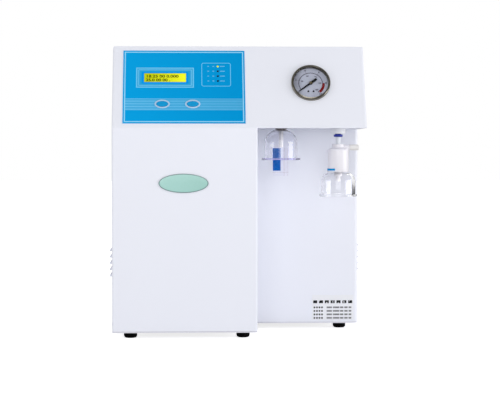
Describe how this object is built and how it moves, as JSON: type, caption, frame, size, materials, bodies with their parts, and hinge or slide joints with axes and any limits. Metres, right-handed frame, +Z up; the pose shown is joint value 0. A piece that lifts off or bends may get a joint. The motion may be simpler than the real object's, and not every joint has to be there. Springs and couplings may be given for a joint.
{
  "type": "ultrapure water system",
  "caption": "Bench-top lab water purifier: white sheet-metal cabinet with a recessed dispensing bay, sloping control fascia, pressure gauge and outlets under clear bells.",
  "frame": {"origin": "bottom centre of the whole machine's box, on the bench under the feet", "axes": "+Z up, -Y out of the front, +X to the right as seen from the front"},
  "size_m": [0.411, 0.4156, 0.4622],
  "materials": {
    "cabinet_white": "fine powder coat",
    "tray_white": "fine powder coat",
    "foot_rubber": "matt",
    "screw_steel": "satin",
    "badge_green": "satin",
    "card_white": "paper-like",
    "overlay_blue": "matt film",
    "window_yellow": "clear over a lit display",
    "display_grey": "moulded",
    "led_yellow": "clear resin",
    "key_blue": "satin",
    "ring_white": "satin",
    "board_green": "lacquered",
    "stainless": "polished",
    "lens_clear": "polished",
    "dial_white": "satin",
    "pointer_black": "matt",
    "brass": "turned",
    "strap_steel": "zinc",
    "nut_black": "moulded",
    "nozzle_steel": "polished",
    "bell_clear": "clear moulded plastic",
    "film_clear": "film",
    "tag_blue": "film",
    "fitting_white": "moulded",
    "collet_blue": "moulded",
    "tube_white": "flexible tube",
    "capsule_white": "translucent moulding",
    "membrane_white": "pleated",
    "cap_beige": "moulded",
    "motor_black": "semi-gloss",
    "rotor_steel": "machined",
    "head_grey": "moulded",
    "cradle_steel": "zinc",
    "vessel_white": "moulded",
    "cartridge_white": "moulded",
    "clip_grey": "moulded",
    "valve_black": "moulded",
    "supply_metal": "folded",
    "inlet_black": "moulded",
    "rocker_black": "moulded",
    "port_white": "moulded",
    "hose_white": "tube",
    "wire_grey": "insulated"
  },
  "bodies": {
    "cabinet": {"front_cover": "cabinet_white", "left_side_panel": "cabinet_white", "right_side_panel": "cabinet_white", "top_cover": "cabinet_white", "rear_panel": "cabinet_white", "base_tray": "tray_white", "bay_side_wall": "cabinet_white", "bay_back_panel": "cabinet_white", "head_floor": "cabinet_white", "rubber_feet": "foot_rubber", "case_screws": "screw_steel", "oval_badge": "badge_green", "service_card": "card_white", "keypad_overlay": "overlay_blue", "display_window": "window_yellow", "display_module": "display_grey", "indicator_leds": "led_yellow", "key_rings": "ring_white", "control_board": "board_green", "gauge_case": "stainless", "gauge_lens": "lens_clear", "gauge_ring": "stainless", "gauge_dial": "dial_white", "gauge_movement": "brass", "bourdon_tube": "brass", "gauge_clamp": "strap_steel", "bulkhead_nuts": "nut_black", "outlet_nozzle": "nozzle_steel", "nozzle_bell": "bell_clear", "outlet_tags": "tag_blue", "tag_film": "film_clear", "outlet_fitting": "fitting_white", "outlet_tube": "tube_white", "filter_capsule": "capsule_white", "filter_membrane": "membrane_white", "filter_bell": "bell_clear", "pump_motor": "motor_black", "pump_head": "head_grey", "pump_cradle": "cradle_steel", "osmosis_housing": "vessel_white", "osmosis_membrane": "membrane_white", "polishing_cartridges": "cartridge_white", "prefilter": "vessel_white", "vessel_clips": "clip_grey", "feed_valve": "valve_black", "line_fittings": "fitting_white", "power_supply": "supply_metal", "mains_inlet": "inlet_black", "rear_ports": "port_white", "water_tubing": "hose_white", "wires": "wire_grey"},
    "power_key": {"power_key": "key_blue"},
    "flush_key": {"flush_key": "key_blue"},
    "pointer": {"gauge_pointer": "pointer_black"},
    "sector": {"gauge_sector": "brass"},
    "collet": {"outlet_collet": "collet_blue"},
    "vent_cap": {"vent_cap": "cap_beige"},
    "pump_rotor": {"pump_rotor": "rotor_steel"},
    "plunger": {"valve_plunger": "rotor_steel"},
    "rocker": {"mains_rocker": "rocker_black"}
  },
  "joints": [
    {"name": "power_key_press", "type": "slide", "parent": "cabinet", "child": "power_key", "axis": [0, 0.8988, -0.4384], "range_m": [0, 0.0007], "stiffness_N_per_m": 800, "springref_m": -0.0005},
    {"name": "flush_key_press", "type": "slide", "parent": "cabinet", "child": "flush_key", "axis": [0, 0.8988, -0.4384], "range_m": [0, 0.0007], "stiffness_N_per_m": 800, "springref_m": -0.0005},
    {"name": "sector_swing", "type": "hinge", "parent": "cabinet", "child": "sector", "pos_m": [0.12484, -0.16057, 0.40903], "axis": [0, -0.8988, 0.4384], "range_deg": [0, 33.75], "stiffness_Nm_per_rad": 0.004, "springref_deg": -2.86},
    {"name": "pointer_turn", "type": "hinge", "parent": "cabinet", "child": "pointer", "pos_m": [0.1137, -0.17157, 0.40201], "axis": [0, 0.8988, -0.4384], "range_deg": [0, 270]},
    {"name": "collet_push", "type": "slide", "parent": "cabinet", "child": "collet", "axis": [0, 0, 1], "range_m": [0, 0.0012], "stiffness_N_per_m": 300, "springref_m": -0.0005},
    {"name": "vent_cap_turn", "type": "hinge", "parent": "cabinet", "child": "vent_cap", "pos_m": [0.186, -0.1462, 0.3007], "axis": [1, 0, 0], "range_deg": [0, 180]},
    {"name": "pump_spin", "type": "hinge", "parent": "cabinet", "child": "pump_rotor", "pos_m": [-0.11, -0.1012, 0.07], "axis": [0, 1, 0], "continuous": true},
    {"name": "plunger_lift", "type": "slide", "parent": "cabinet", "child": "plunger", "axis": [0, 0, 1], "range_m": [0, 0.0025], "stiffness_N_per_m": 200, "springref_m": -0.003},
    {"name": "rocker_tip", "type": "hinge", "parent": "cabinet", "child": "rocker", "pos_m": [0.14, 0.1933, 0.082], "axis": [-1, 0, 0], "range_deg": [0, 16]}
  ],
  "couplings": [
    {"joint": "pointer_turn", "follows": "sector_swing", "ratio": 8}
  ]
}
